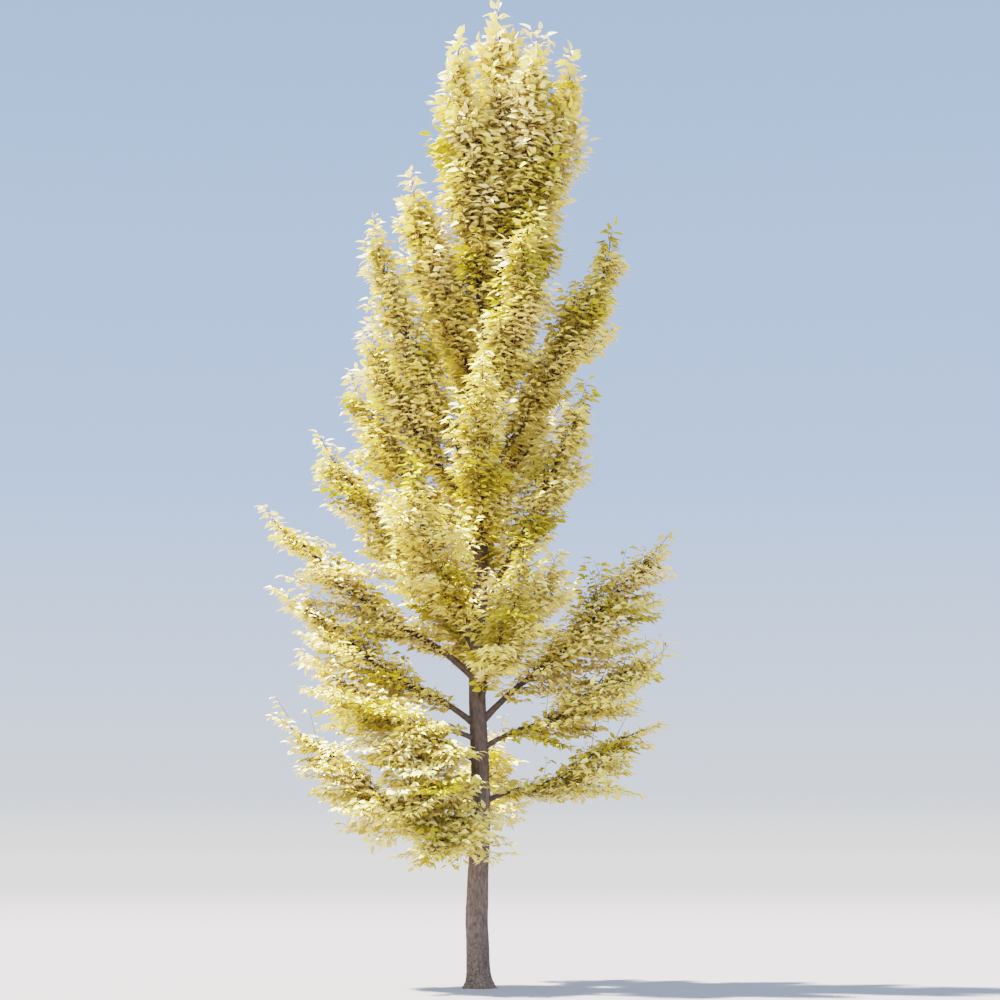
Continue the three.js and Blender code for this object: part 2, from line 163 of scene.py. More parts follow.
class LimbForm(bpy.types.PropertyGroup):
    """Sizes that every limb shares."""

    slenderness: plain_number("Slenderness", "Foot radius over length", 0.0155)
    trunk_share: plain_number("Share of Trunk", "Thickest foot over the trunk's radius there", 0.62)
    collar_share: plain_number("Collar", "Swelling where a limb joins the trunk", 0.45)
    collar_length: in_metres("Collar Length", "Length over which it fades", 0.07)
    tip_radius: in_metres("Tip Radius", "Radius at the far end", 0.0045)
    bare_share: plain_number("Bare Share", "Share of a limb's length before leaves", 0.13)
    straight_from: in_metres("Straight From", "Limbs below this height bend upwards", 2.15)
    wave_share: plain_number("Wave", "Height of the slow wave over the reach", 0.018)
    wave_pitch: plain_number("Wave Pitch", "Length of that wave over the reach", 0.67)
    last_spray: in_metres("Last Spray", "Part of the reach left to the last leaves", 0.272)
    relief: plain_number("Relief", "Depth of the bark's ridges over the radius", 0.34)
    grain: plain_number("Grain", "Ridges of the bark to the metre", 34.0)
    sides: whole_number("Sides", "Points round a limb", 10, least=5)
    step: in_metres("Step", "Between rings along a limb", 0.028)


class TwigForm(bpy.types.PropertyGroup):
    """Sizes of the twigs and of the sprays that they carry."""

    pitch: in_metres("Pitch", "Between shoots along a stem", 0.028)
    low_splay: in_degrees("Low Splay", "From stem to shoots near the ground", 46)
    high_splay: in_degrees("High Splay", "The same on upright limbs", 30)
    top_spread: in_metres("Top Spread", "Length of the leading shoot's own shoots", 0.42)
    upper_shorter: plain_number("Upper Shorter", "Taken off a shoot on top of a level limb", 0.45)
    sag: plain_number("Sag", "How far shoots hang near the ground", 0.35)
    flattest: plain_number("Flattest", "Rise kept by a shoot near the ground", 0.2)
    upright_from: in_metres("Upright From", "Height from which shoots keep all their rise", 4.0)
    lift: plain_number("Lift", "How far twigs turn up towards their tips", 0.5)
    whip_pitch: in_metres("Whip Pitch", "Between the thin whips on top of a low limb", 0.24)
    whip: in_metres("Whip", "Length of the longest whip", 0.40)
    wander: plain_number("Wander", "Uneven turn at each step of a twig", 0.10)
    radius: in_metres("Radius", "At the foot of a shoot", 0.0042)
    tip_radius: in_metres("Tip Radius", "At the tip of a twig", 0.0011)
    side_pitch: in_metres("Side Pitch", "Between the side twigs of a shoot", 0.05)
    side_share: plain_number("Side Share", "Longest side twig over its shoot", 0.45)
    side_angle: in_degrees("Side Angle", "Between a shoot and its side twigs", 48)
    relief: plain_number("Relief", "Depth of the bark over the radius", 0.2)
    grain: plain_number("Grain", "Lumps of the bark to the metre", 60.0)
    sides: whole_number("Sides", "Points round a twig", 3, least=3)
    seed: whole_number("Seed", "Start of the dealt numbers", 7, least=0)


class LeafForm(bpy.types.PropertyGroup):
    """Sizes of a leaf, and the plain colours that are dealt out by spray, the paler ones mostly where the
    sun falls as painted light and the olive ones within as painted shade.
    """

    length: in_metres("Length", "Of a middling low blade", 0.069)
    top_share: plain_number("Top Share", "Topmost blades over low ones", 1.45)
    spread: plain_number("Spread", "How much lengths vary either way", 0.27)
    pitch: in_metres("Pitch", "Between leaves along a twig", 0.0195)
    spur_pitch: in_metres("Spur Pitch", "Between tufts of leaves right on a stem", 0.036)
    angle: in_degrees("Angle", "Between a twig and its leaves", 66)
    droop: plain_number("Droop", "How far a leaf hangs from its twig's plane", 0.16)
    outward: plain_number("Outward", "How far the topmost leaves face outwards", 0.8)
    level: plain_number("Level", "How far leaves below the top lie level", 0.68)
    tilt: plain_number("Tilt", "Uneven tilt of a leaf", 0.56)
    # Besides the leaves' own colours, cream and pale gold serve as painted light and lemon and olive gold as
    # painted shade, by where they are dealt
    cream: plain_colour("Cream", "Palest leaves", 0.965, 0.81, 0.455)
    pale_gold: plain_colour("Pale Gold", "Pale leaves", 0.945, 0.795, 0.365)
    gold: plain_colour("Gold", "Most leaves", 0.915, 0.765, 0.315)
    lemon: plain_colour("Lemon", "Greener yellow leaves", 0.80, 0.67, 0.235)
    olive_gold: plain_colour("Olive Gold", "Leaves that turn last", 0.58, 0.48, 0.07)


class BarkFinish(bpy.types.PropertyGroup):
    """Colours and grain of the bark."""

    ridge: plain_colour("Ridges", "Grey brown of the ridges", 0.265, 0.206, 0.180)
    furrow: plain_colour("Furrows", "Dark of the furrows", 0.10, 0.078, 0.065)
    weathered: plain_colour("Weathered", "Pale grey patches", 0.32, 0.267, 0.243)
    foot: plain_colour("Foot", "Warmer brown near the ground", 0.085, 0.056, 0.040)
    speckle: plain_colour("Speckles", "Pale flakes near the ground", 0.33, 0.262, 0.205)
    twig: plain_colour("Twigs", "Brown of young wood", 0.105, 0.078, 0.058)
    trunk_grain: whole_number("Trunk Grain", "Ridges to the metre round the trunk", 46, least=1)
    bough_grain: whole_number("Bough Grain", "The same round a bough", 62, least=1)
    twig_grain: whole_number("Twig Grain", "The same round a twig", 160, least=1)


class StageForm(bpy.types.PropertyGroup):
    """Floor, light and camera."""

    floor: plain_colour("Floor", "Pale floor round the foot", 0.247, 0.221, 0.209)
    far_floor: plain_colour("Far Floor", "Floor far behind", 0.160, 0.149, 0.137)
    glow: plain_colour("Floor Glow", "The floor's own soft light, which lightens shadows", 0.066, 0.09, 0.12)
    fade_from: in_metres("Fade From", "Distance at which the floor begins to fade", 2.0)
    fade: in_metres("Fade", "Distance at which the floor has faded", 60.0)
    reach: in_metres("Reach", "From the foot to the floor's edges", 1500.0)
    horizon: plain_colour("Horizon", "Background where it meets the floor", 0.56, 0.555, 0.55)
    haze: plain_colour("Haze", "Background just above", 0.42, 0.455, 0.505)
    sky: plain_colour("Sky", "Background higher up", 0.28, 0.365, 0.56)
    zenith: plain_colour("Zenith", "Background overhead", 0.12, 0.19, 0.33)
    sun_strength: plain_number("Sun Strength", "Of the key light", 10.0)
    sun_colour: plain_colour("Sun Colour", "Of the key light", 1.0, 0.97, 0.92)
    sun_angle: in_degrees("Sun Size", "Softness of its shadows", 2.5)
    sun_elevation: in_degrees("Sun Elevation", "Above the floor", 61.0)
    sun_azimuth: in_degrees("Sun Azimuth", "Direction of its light, from +X", -7.0)
    fill_strength: plain_number("Fill Strength", "Of the wide soft light", 1.3)
    fill_colour: plain_colour("Fill Colour", "Of the wide soft light", 0.86, 0.92, 0.96)
    fill_angle: in_degrees("Fill Size", "Width of the soft light", 150)
    eye: FloatVectorProperty(
        name="Eye",
        description="Place of the camera",
        default=(0.168, -20.0, 1.05),
        size=3,
        subtype="TRANSLATION",
    )
    tilt: in_degrees("Tilt", "Camera above level", 8)
    lens: plain_number("Lens", "Focal length in millimetres", 90.36)
    exposure: plain_number("Exposure", "Brightness of the picture in stops", 0.75)


# Numbers and lines


def mix(first, second, share):
    return first + (second - first) * share


def smoothstep(value, low, high):
    share = min(max((value - low) / (high - low), 0.0), 1.0)
    return share * share * (3 - 2 * share)


def chance(seed, index):
    """A repeatable number from 0 to 1, as the solids' rule deals it."""
    wave = math.sin(seed * 127.1 + index * 311.7 + 74.7) * 43758.5453
    return wave - math.floor(wave)


def level_along(azimuth):
    """The level direction of an azimuth in radians."""
    return Vector((math.cos(azimuth), math.sin(azimuth), 0))


def level_across(azimuth):
    """The level direction square to an azimuth in radians."""
    return Vector((-math.sin(azimuth), math.cos(azimuth), 0))


@dataclass
class ByHeight:
    """A value that changes smoothly from one to another between two heights."""

    below: float
    above: float
    start: float
    end: float

    def at(self, z):
        return mix(self.below, self.above, smoothstep(z, self.start, self.end))


class Line:
    """A line through points that is read by the distance along it."""

    def __init__(self, points):
        self.points = points
        self.reached = [0.0]
        for first, second in zip(points, points[1:]):
            self.reached.append(self.reached[-1] + (second - first).length)
        self.length = self.reached[-1]

    def at(self, distance):
        """The place and the heading at a distance."""
        distance = min(max(distance, 0.0), self.length)
        last = len(self.points) - 2
        index = min(int(np.searchsorted(self.reached, distance, side="right")) - 1, last)
        first, second = self.points[index], self.points[index + 1]
        step = self.reached[index + 1] - self.reached[index]
        share = (distance - self.reached[index]) / step
        return first.lerp(second, share), (second - first).normalized()


# Trunk and limbs, by the rule of the solids

SWAY_FADE = 0.25  # of one sway's length, over which the trunk's sway sets in
AWAY_SWAY = 0.7  # turns of the sway away from the viewer for each turn to the side
LIMB_STEPS = 120
LIMB_TAPER = 0.85  # power by which a limb thins
LOW_BEND, HIGH_BEND = 0.9, 1.5  # power by which a limb's way out slows, at the ground and at the top
LOW_RISE = 1.9  # power by which a limb at the ground bends upwards
WAVE_FADE = 0.25  # of a limb's length, over which its wave to the side sets in
WAVE_CHANCE = 1  # which dealt number sets where a limb's wave begins
TOP_SHOOT = 0.58  # length of the leading shoot


def trunk_centre(z):
    form = bpy.context.scene.ginkgo_trunk
    turn = 2 * math.pi * z / form.sway_pitch
    sway = form.sway * min(1.0, z / (SWAY_FADE * form.sway_pitch))
    lean = form.lean * smoothstep(z, form.lean_from, form.lean_to)
    return Vector((lean - sway * math.sin(turn), sway * math.sin(AWAY_SWAY * turn), z))


def trunk_radius(z):
    form = bpy.context.scene.ginkgo_trunk
    taper = mix(form.radius, form.tip_radius, z / form.top)
    return taper + form.flare_radius * math.exp(-z / form.flare_height)


@dataclass
class Limb:
    """A limb from the trunk's centre line to its tip."""

    name: str
    seed: int
    start: float
    azimuth: float
    spread: float
    line: Line
    foot: float
    leaf_from: float

    def radius(self, share):
        form = bpy.context.scene.ginkgo_limbs
        collar = form.collar_share * math.exp(-share * self.line.length / form.collar_length)
        return mix(self.foot, form.tip_radius, share**LIMB_TAPER) * (1 + collar)


def limb_line(seed, start, azimuth, reach, rise):
    form = bpy.context.scene.ginkgo_limbs
    outward = level_along(azimuth)
    sideways = level_across(azimuth)
    foot = trunk_centre(start)
    woody = 1 - form.last_spray / math.hypot(reach, rise)
    bend = mix(LOW_BEND, HIGH_BEND, start / TREE_HEIGHT)
    lift = mix(LOW_RISE, 1.0, min(1.0, start / form.straight_from))
    phase = chance(seed, WAVE_CHANCE)
    wave = form.wave_share * reach
    points = []
    for i in range(LIMB_STEPS + 1):
        s = i / LIMB_STEPS
        turns = s / form.wave_pitch
        out = woody * reach * (1 - (1 - s) ** bend)
        up = woody * rise * s**lift + wave * math.sin(2 * math.pi * turns)
        side = wave * math.sin(2 * math.pi * (turns + phase)) * min(1.0, s / WAVE_FADE)
        points.append(foot + outward * out + sideways * side + UP * up)
    return Line(points)


def grown_limbs():
    """Every limb, and last the leading shoot that carries the trunk on to the top."""
    trunk = bpy.context.scene.ginkgo_trunk
    form = bpy.context.scene.ginkgo_limbs
    limbs = []
    for i, (name, start, degrees, reach, rise, spread) in enumerate(LIMBS):
        azimuth = math.radians(degrees)
        line = limb_line(i + 1, start, azimuth, reach, rise)
        foot = min(form.slenderness * line.length, form.trunk_share * trunk_radius(start))
        limbs.append(Limb(name, i + 1, start, azimuth, spread, line, foot, form.bare_share))
    top = trunk_centre(trunk.top)
    line = Line([top, top + UP * (TOP_SHOOT / 2), top + UP * TOP_SHOOT])
    spread = bpy.context.scene.ginkgo_twigs.top_spread
    limbs.append(Limb("top", 0, trunk.top, 0.0, spread, line, trunk.tip_radius, 0.0))
    return limbs


def tier_of(limb):
    return [name for name, lowest in TIERS if limb.start >= lowest][-1]


# Twigs and leaves

# Shares of the tints, from cream to olive gold, for sprays in the sun, for sprays in the shade and for tufts
# on the stems: besides the leaves' own colours, the paler tints paint the light where the sun falls and the
# olive ones paint the shade within the crown
PAINTED_SUNLIT_TINTS = (0.44, 0.36, 0.16, 0.03, 0.01)
PAINTED_SHADE_TINTS = (0.08, 0.24, 0.37, 0.14, 0.17)
SPUR_PAINTED_SHADE_TINTS = (0.0, 0.08, 0.22, 0.26, 0.44)

# How sunny a spray is, for each metre up, to the left, away from the viewer and out from the trunk; it sets
# how far its tint is painted light rather than painted shade
SUN_UP, SUN_LEFT, SUN_AWAY, SUN_OUT = 0.08, 0.25, 0.15, 0.4
SUN_LACK = 0.36  # taken off, so that the middle of the tree takes the painted shade tints
SUN_AT_TOP = ByHeight(0.0, 0.7, 6.2, 7.8)  # added towards the top

SEEDS_APART = 1000  # room for the limbs of one tree before the next tree's seeds begin
BOX_MARGIN = 0.02  # of the solids' box, by which a leaf may pass it
TRUNK_GAP = 0.01  # between the trunk and the tip of a leaf or twig
SLIGHTLY_UNEVEN = (0.8, 1.2)  # dealt distances and angles over the usual ones

UNEVEN_SPRAYS = ByHeight(0.55, 0.3, 2.0, 4.0)  # how unevenly sprays face
UNEVEN_LEAVES = ByHeight(0.85, 1.05, 1.8, 4.5)  # over the usual tilt
LOW_OUTWARD = 0.1  # how far the lowest leaves face outwards
OUTWARD_HEIGHTS = (4.0, 8.0)  # between which that grows to the topmost leaves' share
LEVEL_LEAVES = ByHeight(1.0, 0.4, 6.0, 7.8)  # how much of their levelling leaves keep
LEAF_DISTANCES = ByHeight(1.0, 2.0, 7.1, 7.9)  # over the pitch
LEAF_ANGLES = (0.75, 1.2)  # over the usual angle
LEAF_DROOPS = (0.2, 1.4)  # over the usual droop
LEAF_ROOM = 1.2  # length that has to be free, over a leaf's own
LAST_GAP = 0.3  # of the pitch, which stays free before the leaf at a twig's tip

FEWEST_SHOOTS = 3  # on a stem
ROLL_CHANCE = 2  # which dealt number turns the first one round the stem
SHOOT_CHANCES = 10  # where the dealt numbers for their lengths begin
SHOOT_LENGTHS = (0.45, 1.3)  # over the limb's spread
LEAST_FULL = 0.3  # of their length, for shoots at either end of a stem
FULL_EARLY = 0.65  # power that draws the longest shoots towards the foot
SHOOT_STEPS, MIDDLE, OUTER = 4, 2, 3  # a shoot's steps, and its points half way and three quarters out
SHORTEST_SHOOT = 0.08
SHORTEST_SPRAY = 0.05  # what has no more room is left out
ROOM_AHEAD = 0.1  # of a shoot's tip
SHORTEN = 0.8  # what a shoot without room keeps of its length
SHOOT_LEAVES_FROM = 0.2  # of its length

SIDE_FROM, SIDE_TO = 0.16, 0.88  # where side twigs stand on a shoot
SIDE_LENGTHS = (0.75, 1.2)  # over the usual length
OUTER_SHORTER = 0.45  # taken off side twigs towards the shoot's tip
SIDE_RADIUS = 0.55  # over the shoot's
SIDE_STEPS = 2
SIDE_LEAVES_FROM = 0.3  # of its length

SPURS_FROM = 0.02  # of a limb's length, after its bare share
SPUR_LEAVES = 3
SPUR_FORWARD = 0.4  # how far they point along the stem
SPUR_DISTANCES = (0.7, 1.3)  # over the pitch

WHIPS_FROM = 0.3  # of the leafy stem
WHIP_FORWARD = 0.5  # how far a whip leans along the limb
WHIP_UNEVEN = 0.35
WHIP_LENGTHS = (0.5, 1.0)  # over the longest
WHIP_STEPS = 5
WHIP_RADIUS = 0.7  # over a shoot's
WHIP_LEAVES = (0.45, 0.62, 0.78, 0.9, 1.0)  # where leaves stand on a whip
WHIP_DISTANCES = (0.5, 1.5)  # over the pitch

INNER_FROM = 5.9  # height on the trunk from which short shoots fill the room between the leaders
INNER_PITCH = 0.042
INNER_LENGTH = 0.34


@dataclass
class Twig:
    """A twig's line and its radius at either end."""

    line: Line
    radius: float
    tip_radius: float


@dataclass
class Leaf:
    """A leaf: the root of its stalk, the way it points, the way it faces, its length and its tint."""

    root: Vector
    along: Vector
    facing: Vector
    length: float
    tint: int


class Crown:
    """Grows the twigs and leaves of one limb by dealt numbers that are the same in every run."""

    def __init__(self, limb):
        self.limb = limb
        self.trunk_top = bpy.context.scene.ginkgo_trunk.top
        self.twig_form = bpy.context.scene.ginkgo_twigs
        self.leaf_form = bpy.context.scene.ginkgo_leaves
        self.dice = np.random.default_rng(SEEDS_APART * self.twig_form.seed + limb.seed)
        height = min(1.0, limb.start / self.twig_form.upright_from)
        self.flatness = mix(self.twig_form.flattest, 1.0, height)
        self.sag = self.twig_form.sag * (1 - height)
        self.splay = mix(self.twig_form.low_splay, self.twig_form.high_splay, height)
        self.outward = ByHeight(LOW_OUTWARD, self.leaf_form.outward, *OUTWARD_HEIGHTS)
        self.twigs = []
        self.leaves = []
        low, high = SOLID_BOX
        margin = (high - low) * BOX_MARGIN
        self.low = low - margin
        self.high = high + margin

    def uneven(self, size):
        return Vector(self.dice.uniform(-size, size, 3))

    def dealt(self, shares):
        """One of the tints, by their shares."""
        return int(self.dice.choice(len(shares), p=shares))

    def spray_tint(self, place):
        """A spray's tint, dealt by how the sun falls on it: paler, as painted light, out on the sunny left
        and at the top; greener, as painted shade, within and on the right.
        """
        out = place - trunk_centre(min(place.z, self.trunk_top))
        # how much painted light rather than painted shade the spray's tint carries, from where it stands
        sunny = SUN_UP * place.z - SUN_LEFT * out.x + SUN_AWAY * out.y + SUN_OUT * out.xy.length - SUN_LACK
        sunny += SUN_AT_TOP.at(place.z)
        sunny = min(1.0, max(0.0, sunny))
        return self.dealt([mix(shady, pale, sunny) for shady, pale in zip(PAINTED_SHADE_TINTS, PAINTED_SUNLIT_TINTS)])

    def has_room(self, place):
        """True inside the reach of the solids and outside the trunk."""
        if any(not low < value < high for value, low, high in zip(place, self.low, self.high)):
            return False
        if place.z > self.trunk_top:
            return True
        centre = trunk_centre(max(place.z, 0.0))
        return (place - centre).xy.length > trunk_radius(place.z) + TRUNK_GAP

    def facing_at(self, place):
        """The way that a spray faces: up, out from the trunk, and a little unevenly."""
        centre = trunk_centre(min(place.z, self.trunk_top))
        outward = Vector((place.x - centre.x, place.y - centre.y, 0)).normalized()
        uneven = self.uneven(UNEVEN_SPRAYS.at(place.z))
        return (UP + outward * self.outward.at(place.z) + uneven).normalized()

    def add_leaf(self, root, heading, facing, outward, tint):
        """A leaf that leaves a twig outwards, or goes on from its tip where no way outwards is given."""
        form = self.leaf_form
        along = heading
        if outward:
            angle = form.angle * self.dice.uniform(*LEAF_ANGLES)
            along = heading * math.cos(angle) + outward * math.sin(angle)
        level = form.level * LEVEL_LEAVES.at(root.z)
        rise = along.z * (1 - level) - form.droop * self.dice.uniform(*LEAF_DROOPS)
        along = Vector((along.x, along.y, rise)).normalized()
        facing = facing + self.uneven(form.tilt * UNEVEN_LEAVES.at(root.z))
        grown = mix(1.0, form.top_share, (root.z / SOLID_BOX[1].z) ** 2)
        length = form.length * grown * self.dice.uniform(1 - form.spread, 1 + form.spread)
        if self.has_room(root + along * (LEAF_ROOM * length)):
            self.leaves.append(Leaf(root, along, facing, length, tint))

    def leaves_along(self, line, start, facing, tint):
        """Leaves in turn round a twig, drawn towards the level, so that they stand beside a level twig."""
        pitch = self.leaf_form.pitch * LEAF_DISTANCES.at(line.points[0].z)
        turn = self.dice.uniform(0, 2 * math.pi)
        distance = start
        while distance < line.length - LAST_GAP * pitch:
            place, heading = line.at(distance)
            outward = level_along(turn)
            outward = (outward - heading * outward.dot(heading)).normalized()
            self.add_leaf(place, heading, facing, outward, tint)
            turn += GOLDEN_ANGLE
            distance += pitch * self.dice.uniform(*SLIGHTLY_UNEVEN)
        place, heading = line.at(line.length)
        self.add_leaf(place, heading, facing, None, tint)

    def twig_line(self, root, heading, length, steps):
        """A twig sets out in its heading and lifts towards the light, with a small wander."""
        form = self.twig_form
        points = [root]
        for _ in range(steps):
            heading = heading + UP * (form.lift * self.flatness / steps) + self.uneven(form.wander)
            heading.normalize()
            points.append(points[-1] + heading * (length / steps))
        return Line(points)

    def shoot_direction(self, index, share):
        """The root, the heading and the share of its full length of one shoot of the stem.

        Each is turned on from the last by the golden angle. What stands up from a level limb is shorter.
        """
        limb = self.limb
        root, tangent = limb.line.at(mix(limb.leaf_from, 1.0, share) * limb.line.length)
        level = level_across(limb.azimuth)
        rising = tangent.cross(level).normalized()
        roll = GOLDEN_ANGLE * index + 2 * math.pi * chance(limb.seed, ROLL_CHANCE)
        side = level * math.cos(roll) + rising * math.sin(roll)
        direction = tangent * math.cos(self.splay) + side * math.sin(self.splay)
        direction.z = direction.z * self.flatness - self.sag
        direction.normalize()
        return root, direction, 1 - self.twig_form.upper_shorter * max(0.0, side.z)

    def grow_shoot(self, index, count):
        share = (index + 0.5) / count
        root, direction, hang = self.shoot_direction(index, share)
        fullness = mix(LEAST_FULL, 1.0, math.sin(math.pi * share**FULL_EARLY))
        dealt = mix(*SHOOT_LENGTHS, chance(self.limb.seed, SHOOT_CHANCES + index))
        reach = self.limb.spread * fullness * hang * dealt
        self.grow_spray(root, direction, max(reach - self.leaf_form.length, SHORTEST_SHOOT))

    def grow_spray(self, root, direction, length):
        """A shoot with side twigs and leaves in one plane, all of one tint."""
        form = self.twig_form
        line = self.twig_line(root, direction, length, SHOOT_STEPS)
        while length > SHORTEST_SPRAY and not self.has_room(line.points[-1] + direction * ROOM_AHEAD):
            length *= SHORTEN
            line = self.twig_line(root, direction, length, SHOOT_STEPS)
        if length <= SHORTEST_SPRAY or not self.has_room(line.points[MIDDLE]):
            return
        facing = self.facing_at(line.points[OUTER])
        tint = self.spray_tint(line.points[OUTER])
        self.twigs.append(Twig(line, form.radius, form.tip_radius))
        self.leaves_along(line, SHOOT_LEAVES_FROM * length, facing, tint)
        side = 1 if self.dice.random() < 0.5 else -1
        distance = SIDE_FROM * length
        while distance < SIDE_TO * length:
            place, heading = line.at(distance)
            across = heading.cross(facing).normalized()
            angle = form.side_angle * self.dice.uniform(*SLIGHTLY_UNEVEN) * side
            out = heading * math.cos(angle) + across * math.sin(angle)
            longest = form.side_share * length * (1 - OUTER_SHORTER * distance / length)
            reach = longest * self.dice.uniform(*SIDE_LENGTHS)
            twiglet = self.twig_line(place, out, reach, SIDE_STEPS)
            self.twigs.append(Twig(twiglet, SIDE_RADIUS * form.radius, form.tip_radius))
            self.leaves_along(twiglet, SIDE_LEAVES_FROM * reach, facing, tint)
            side = -side
            distance += form.side_pitch * self.dice.uniform(*SLIGHTLY_UNEVEN)

    def grow_spurs(self):
        """Tufts of leaves on short spurs right on the stem."""
        limb = self.limb
        distance = (limb.leaf_from + SPURS_FROM) * limb.line.length
        while distance < limb.line.length:
            place, tangent = limb.line.at(distance)
            facing = self.facing_at(place)
            # mostly olive tints: painted shade within the crown
            tint = self.dealt(SPUR_PAINTED_SHADE_TINTS)
            for _ in range(SPUR_LEAVES):
                out = tangent.cross(self.uneven(1.0)).normalized()
                out = (out + tangent * SPUR_FORWARD).normalized()
                foot = place + out * limb.radius(distance / limb.line.length)
                self.add_leaf(foot, out, facing, None, tint)
            distance += self.leaf_form.spur_pitch * self.dice.uniform(*SPUR_DISTANCES)

    def grow_whips(self):
        """Thin upright whips with few leaves, on top of a low limb."""
        limb, form = self.limb, self.twig_form
        distance = mix(limb.leaf_from, 1.0, WHIPS_FROM) * limb.line.length
        while distance < limb.line.length:
            root, tangent = limb.line.at(distance)
            heading = (UP + tangent * WHIP_FORWARD + self.uneven(WHIP_UNEVEN)).normalized()
            length = form.whip * self.dice.uniform(*WHIP_LENGTHS)
            line = self.twig_line(root, heading, length, WHIP_STEPS)
            if self.has_room(line.points[-1]):
                tint = self.spray_tint(line.points[-1])
                self.twigs.append(Twig(line, WHIP_RADIUS * form.radius, form.tip_radius))
                for share in WHIP_LEAVES:
                    place, along = line.at(share * length)
                    outward = along.cross(self.uneven(1.0)).normalized()
                    self.add_leaf(place, along, self.facing_at(place), outward, tint)
            distance += form.whip_pitch * self.dice.uniform(*WHIP_DISTANCES)

    def grow_inner_shoots(self):
        """Short shoots on the last of the trunk, between the leaders."""
        height = INNER_FROM
        turn = 0.0
        while height < self.trunk_top:
            outward = level_along(turn)
            root = trunk_centre(height) + outward * trunk_radius(height)
            self.grow_spray(root, (outward + UP).normalized(), INNER_LENGTH)
            turn += GOLDEN_ANGLE
            height += INNER_PITCH

    def grow(self):
        limb = self.limb
        limb_form = bpy.context.scene.ginkgo_limbs
        leafy = (1 - limb.leaf_from) * limb.line.length
        count = max(FEWEST_SHOOTS, round(leafy / self.twig_form.pitch))
        for index in range(count):
            self.grow_shoot(index, count)
        tip, heading = limb.line.at(limb.line.length)
        self.grow_spray(tip, heading, limb_form.last_spray)
        self.grow_spurs()
        if limb.start < limb_form.straight_from:
            self.grow_whips()
        if limb.name == "top":
            self.grow_inner_shoots()
        return self


def grown_crowns(tier):
    return [Crown(limb).grow() for limb in grown_limbs() if tier_of(limb) == tier]


# Node trees


class Wire:
    """An output socket, with arithmetic that adds Math nodes."""

    def __init__(self, sketch, socket):
        self.sketch = sketch
        self.socket = socket

    def maths(self, operation, *values):
        return self.sketch.add("ShaderNodeMath", {"operation": operation}, dict(enumerate(values)))

    def __add__(self, other):
        return self.maths("ADD", self, other)

    def __radd__(self, other):
        return self.maths("ADD", other, self)

    def __sub__(self, other):
        return self.maths("SUBTRACT", self, other)

    def __rsub__(self, other):
        return self.maths("SUBTRACT", other, self)

    def __mul__(self, other):
        return self.maths("MULTIPLY", self, other)

    def __rmul__(self, other):
        return self.maths("MULTIPLY", other, self)


class Sketch:
    """A node tree under construction."""

    def __init__(self, tree):
        self.tree = tree

    def add(self, kind, settings=None, sockets=None, output=0):
        """Adds a node: its settings are set first, then its sockets are given values or links."""
        node = self.tree.nodes.new(kind)
        for name, value in (settings or {}).items():
            if name == "stops":
                self.set_stops(node.color_ramp, value)
            else:
                setattr(node, name, value)
        for name, value in (sockets or {}).items():
            if isinstance(value, Wire):
                self.tree.links.new(value.socket, node.inputs[name])
            else:
                node.inputs[name].default_value = value
        return Wire(self, node.outputs[output]) if node.outputs else None

    @staticmethod
    def set_stops(ramp, stops):
        while len(ramp.elements) < len(stops):
            ramp.elements.new(1.0)
        for element, (place, colour) in zip(ramp.elements, stops):
            element.position = place
            element.color = colour

    def grain(self, place, scale, detail, roughness):
        """Uneven noise."""
        sockets = {"Vector": place, "Scale": scale, "Detail": detail, "Roughness": roughness}
        return self.add("ShaderNodeTexNoise", None, sockets)

    def contrast(self, value, dark, light):
        """Black up to one value and white from another on."""
        stops = ((dark, (0, 0, 0, 1)), (light, (1, 1, 1, 1)))
        return self.add("ShaderNodeValToRGB", {"stops": stops}, {"Fac": value})

    def between(self, value, low, high, first=0.0, last=1.0, way="SMOOTHSTEP"):
        """A number that goes from the first to the last as a value goes from low to high."""
        sockets = {"Value": value, "From Min": low, "From Max": high, "To Min": first, "To Max": last}
        return self.add("ShaderNodeMapRange", {"interpolation_type": way}, sockets)

    def mix_colours(self, factor, first, second):
        """One colour over another by a factor."""
        sockets = {0: factor, 6: first, 7: second}
        return self.add("ShaderNodeMix", {"data_type": "RGBA"}, sockets, output=2)

    def surface(self, sockets):
        """Ends a material in its surface."""
        shader = self.add("ShaderNodeBsdfPrincipled", None, sockets)
        self.add("ShaderNodeOutputMaterial", None, {"Surface": shader})

    def named(self, name, kind="FLOAT"):
        """An attribute of the geometry by its name."""
        return self.add("GeometryNodeInputNamedAttribute", {"data_type": kind}, {"Name": name})


def solid_colour(colour):
    return (*colour, 1.0)


def new_material(name):
    material = bpy.data.materials.new(name)
    material.use_nodes = True
    material.node_tree.nodes.clear()
    return material, Sketch(material.node_tree)


# Finishes

BOUGH_SHADE = 0.62  # how light a bough's ridges are against the trunk's
BUMP_DEPTH = 0.006
DRAWN_OUT = (1, 1, 0.4)  # ridges and patches are longer than wide
FLAKE_GRAIN, PATCH_GRAIN, SPECKLE_GRAIN = 2.4, 0.2, 1.4  # over the grain of the ridges
FOOT_HEIGHTS = (0.2, 0.85)  # between which the speckled foot fades
CROWN_SHADE_HEIGHTS = (1.0, 2.4)  # between which the trunk darkens with the painted shade of the crown
